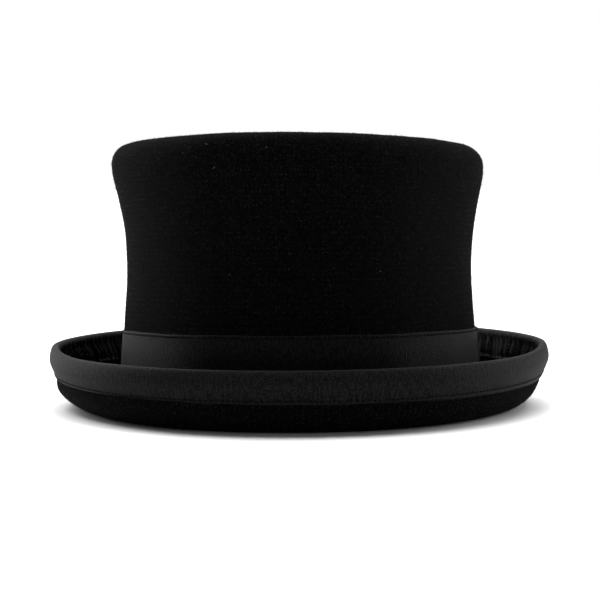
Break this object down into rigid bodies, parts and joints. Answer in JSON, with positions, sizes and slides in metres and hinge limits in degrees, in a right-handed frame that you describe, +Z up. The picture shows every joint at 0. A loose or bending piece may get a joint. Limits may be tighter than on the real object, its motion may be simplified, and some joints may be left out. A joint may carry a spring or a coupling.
{
  "type": "top hat",
  "caption": "Low-crowned felt top hat with a waisted crown, a curled and ribbon-bound brim, a grosgrain crown band, a leather sweatband and a satin lining.",
  "frame": {"origin": "on the surface the hat stands on, under the middle of the head oval", "axes": "+X to the wearer's left, +Y to the back of the hat, +Z up out of the tip"},
  "size_m": [0.2356, 0.2756, 0.1275],
  "materials": {
    "felt": "matte wool felt",
    "ribbon": "grosgrain ribbon",
    "thread": "twisted sewing thread",
    "satin": "satin lining cloth",
    "leather": "smooth sweatband leather",
    "reed": "coated reed tube",
    "wire": "spring steel wire",
    "joiner": "drawn brass sleeve",
    "bow_ribbon": "satin ribbon",
    "label": "woven cotton tape"
  },
  "bodies": {
    "root": {"crown_felt": "felt", "brim_felt": "felt", "brim_wire": "wire", "wire_joiner": "joiner", "brim_binding": "ribbon", "binding_thread": "thread", "crown_band": "ribbon", "band_join": "ribbon", "band_thread": "thread", "lining_side": "satin", "lining_tip": "satin", "sweatband": "leather", "sweatband_reed": "reed", "sweatband_thread": "thread", "sweatband_bow": "bow_ribbon", "size_label": "label"}
  },
  "joints": []
}
